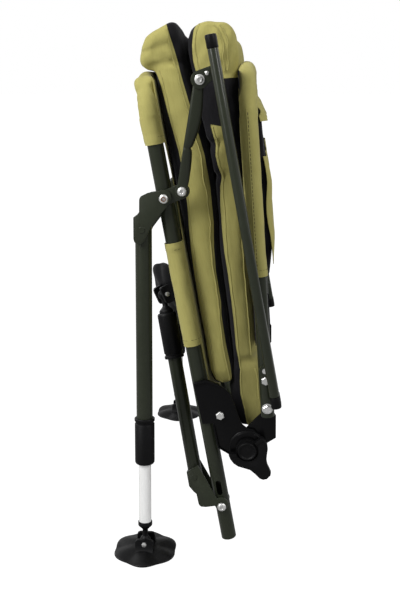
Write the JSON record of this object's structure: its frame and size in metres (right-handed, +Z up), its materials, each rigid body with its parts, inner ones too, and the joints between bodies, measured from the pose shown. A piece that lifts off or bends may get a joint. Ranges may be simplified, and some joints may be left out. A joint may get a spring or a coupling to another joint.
{
  "type": "folding chair",
  "caption": "Padded folding bank chair with armrests, folded flat and stood on end: telescopic legs with swivel feet, reclining backrest with lever knobs.",
  "frame": {"origin": "centre of the footprint of the folded chair, on the floor it stands on", "axes": "+Z up, +Y to the chair's right-hand side (the sitter's right), +X from the front legs toward the backrest"},
  "size_m": [0.2372, 0.6068, 0.7438],
  "materials": {
    "olive_paint": "semi-gloss powder coat",
    "black_steel": "black powder coat",
    "black_plastic": "moulded, satin",
    "bright_zinc": "bright zinc plate",
    "bright_steel": "polished",
    "olive_fabric": "coated polyester weave"
  },
  "bodies": {
    "seat_frame": {"rail_left": "olive_paint", "rail_right": "olive_paint", "front_hoop": "olive_paint", "rear_cross_tube": "olive_paint", "seat_sling": "olive_fabric", "seat_cushion": "olive_fabric", "seat_hinge_plate_left": "black_steel", "seat_hinge_plate_right": "black_steel", "strut_plate_left": "olive_paint", "strut_plate_right": "olive_paint", "front_leg_bolt_left": "bright_zinc", "front_leg_bolt_right": "bright_zinc", "rear_leg_bolt_left": "bright_zinc", "rear_leg_bolt_right": "bright_zinc", "strut_base_bolt_left": "bright_zinc", "strut_base_bolt_right": "bright_zinc", "recline_bolt_left": "bright_zinc", "recline_bolt_right": "bright_zinc"},
    "backrest": {"back_frame": "olive_paint", "back_sling": "olive_fabric", "back_cushion": "olive_fabric", "back_pocket": "olive_fabric", "back_hinge_plate_left": "black_steel", "back_hinge_plate_right": "black_steel", "back_plate_bolt_left": "bright_zinc", "back_plate_bolt_right": "bright_zinc", "arm_pivot_bolt_left": "bright_zinc", "arm_pivot_bolt_right": "bright_zinc"},
    "arm_left": {"arm_tube_left": "olive_paint", "arm_front_cap_left": "black_plastic", "arm_rear_cap_left": "black_plastic", "strut_top_bolt_left": "bright_zinc"},
    "armrest_strut_left": {"strut_left": "olive_paint"},
    "lever_knob_left": {"recline_knob_left": "black_plastic"},
    "arm_right": {"arm_tube_right": "olive_paint", "arm_front_cap_right": "black_plastic", "arm_rear_cap_right": "black_plastic", "strut_top_bolt_right": "bright_zinc"},
    "armrest_strut_right": {"strut_right": "olive_paint"},
    "lever_knob_right": {"recline_knob_right": "black_plastic"},
    "front_left_leg": {"front_leg_left_tube": "olive_paint"},
    "front_left_collar": {"front_leg_left_lock_collar": "black_plastic"},
    "front_left_inner_leg": {"front_leg_left_inner_tube": "bright_steel", "front_leg_left_ball_plug": "black_plastic"},
    "front_left_foot": {"front_leg_left_mud_foot": "black_plastic"},
    "front_right_leg": {"front_leg_right_tube": "olive_paint"},
    "front_right_collar": {"front_leg_right_lock_collar": "black_plastic"},
    "front_right_inner_leg": {"front_leg_right_inner_tube": "bright_steel", "front_leg_right_ball_plug": "black_plastic"},
    "front_right_foot": {"front_leg_right_mud_foot": "black_plastic"},
    "rear_left_leg": {"rear_leg_left_tube": "olive_paint"},
    "rear_left_collar": {"rear_leg_left_lock_collar": "black_plastic"},
    "rear_left_inner_leg": {"rear_leg_left_inner_tube": "bright_steel", "rear_leg_left_ball_plug": "black_plastic"},
    "rear_left_foot": {"rear_leg_left_mud_foot": "black_plastic"},
    "rear_right_leg": {"rear_leg_right_tube": "olive_paint"},
    "rear_right_collar": {"rear_leg_right_lock_collar": "black_plastic"},
    "rear_right_inner_leg": {"rear_leg_right_inner_tube": "bright_steel", "rear_leg_right_ball_plug": "black_plastic"},
    "rear_right_foot": {"rear_leg_right_mud_foot": "black_plastic"}
  },
  "joints": [
    {"name": "back_recline", "type": "hinge", "parent": "seat_frame", "child": "backrest", "pos_m": [0.07267, 0, 0.15488], "axis": [0, 1, 0], "range_deg": [0, 110]},
    {"name": "arm_left_pivot", "type": "hinge", "parent": "backrest", "child": "arm_left", "pos_m": [0.09533, -0.24, 0.27995], "axis": [0, 1, 0], "range_deg": [-108, 0]},
    {"name": "strut_left_pivot", "type": "hinge", "parent": "seat_frame", "child": "armrest_strut_left", "pos_m": [-0.01937, -0.23, 0.52335], "axis": [0, 1, 0], "range_deg": [0, 100]},
    {"name": "lever_knob_left_turn", "type": "hinge", "parent": "seat_frame", "child": "lever_knob_left", "pos_m": [0.07267, -0.23, 0.15488], "axis": [0, 1, 0], "range_deg": [-45, 45]},
    {"name": "arm_right_pivot", "type": "hinge", "parent": "backrest", "child": "arm_right", "pos_m": [0.09533, 0.24, 0.27995], "axis": [0, 1, 0], "range_deg": [-108, 0]},
    {"name": "strut_right_pivot", "type": "hinge", "parent": "seat_frame", "child": "armrest_strut_right", "pos_m": [-0.01937, 0.23, 0.52335], "axis": [0, 1, 0], "range_deg": [0, 100]},
    {"name": "lever_knob_right_turn", "type": "hinge", "parent": "seat_frame", "child": "lever_knob_right", "pos_m": [0.07267, 0.23, 0.15488], "axis": [0, 1, 0], "range_deg": [-45, 45]},
    {"name": "front_left_leg_fold", "type": "hinge", "parent": "seat_frame", "child": "front_left_leg", "pos_m": [-0.04399, -0.213, 0.51328], "axis": [0, 1, 0], "range_deg": [0, 80]},
    {"name": "front_left_collar_twist", "type": "hinge", "parent": "front_left_leg", "child": "front_left_collar", "pos_m": [-0.07379, -0.24612, 0.13473], "axis": [0, -0.0872, -0.9962], "range_deg": [0, 90]},
    {"name": "front_left_inner_leg_slide", "type": "slide", "parent": "front_left_leg", "child": "front_left_inner_leg", "axis": [0, -0.0872, -0.9962], "range_m": [-0.088, 0.03]},
    {"name": "front_left_foot_swivel", "type": "hinge", "parent": "front_left_inner_leg", "child": "front_left_foot", "pos_m": [-0.07379, -0.25642, 0.017], "axis": [0, 1, 0], "range_deg": [-45, 45]},
    {"name": "front_right_leg_fold", "type": "hinge", "parent": "seat_frame", "child": "front_right_leg", "pos_m": [-0.04399, 0.213, 0.51328], "axis": [0, 1, 0], "range_deg": [0, 80]},
    {"name": "front_right_collar_twist", "type": "hinge", "parent": "front_right_leg", "child": "front_right_collar", "pos_m": [-0.07379, 0.24612, 0.13473], "axis": [0, 0.0872, -0.9962], "range_deg": [0, 90]},
    {"name": "front_right_inner_leg_slide", "type": "slide", "parent": "front_right_leg", "child": "front_right_inner_leg", "axis": [0, 0.0872, -0.9962], "range_m": [-0.088, 0.03]},
    {"name": "front_right_foot_swivel", "type": "hinge", "parent": "front_right_inner_leg", "child": "front_right_foot", "pos_m": [-0.07379, 0.25642, 0.017], "axis": [0, 1, 0], "range_deg": [-45, 45]},
    {"name": "rear_left_leg_fold", "type": "hinge", "parent": "seat_frame", "child": "rear_left_leg", "pos_m": [0.03661, -0.213, 0.0608], "axis": [0, -1, 0], "range_deg": [0, 100]},
    {"name": "rear_left_collar_twist", "type": "hinge", "parent": "rear_left_leg", "child": "rear_left_collar", "pos_m": [-0.05037, -0.15748, 0.33484], "axis": [-0.189, 0.1908, 0.9633], "range_deg": [0, 90]},
    {"name": "rear_left_inner_leg_slide", "type": "slide", "parent": "rear_left_leg", "child": "rear_left_inner_leg", "axis": [-0.189, 0.1908, 0.9633], "range_m": [0, 0.12]},
    {"name": "rear_left_foot_swivel", "type": "hinge", "parent": "rear_left_inner_leg", "child": "rear_left_foot", "pos_m": [-0.05547, -0.15232, 0.36084], "axis": [0.5328, -0.8041, 0.2638], "range_deg": [0, 74]},
    {"name": "rear_right_leg_fold", "type": "hinge", "parent": "seat_frame", "child": "rear_right_leg", "pos_m": [0.03661, 0.213, 0.0608], "axis": [0, -1, 0], "range_deg": [0, 100]},
    {"name": "rear_right_collar_twist", "type": "hinge", "parent": "rear_right_leg", "child": "rear_right_collar", "pos_m": [-0.05037, 0.15748, 0.33484], "axis": [-0.189, -0.1908, 0.9633], "range_deg": [0, 90]},
    {"name": "rear_right_inner_leg_slide", "type": "slide", "parent": "rear_right_leg", "child": "rear_right_inner_leg", "axis": [-0.189, -0.1908, 0.9633], "range_m": [0, 0.12]},
    {"name": "rear_right_foot_swivel", "type": "hinge", "parent": "rear_right_inner_leg", "child": "rear_right_foot", "pos_m": [-0.05547, 0.15232, 0.36084], "axis": [-0.5328, -0.8041, -0.2638], "range_deg": [0, 74]}
  ],
  "couplings": [
    {"joint": "arm_left_pivot", "follows": "back_recline", "ratio": -0.97},
    {"joint": "strut_left_pivot", "follows": "back_recline", "ratio": 0.89},
    {"joint": "arm_right_pivot", "follows": "back_recline", "ratio": -0.97},
    {"joint": "strut_right_pivot", "follows": "back_recline", "ratio": 0.89}
  ]
}
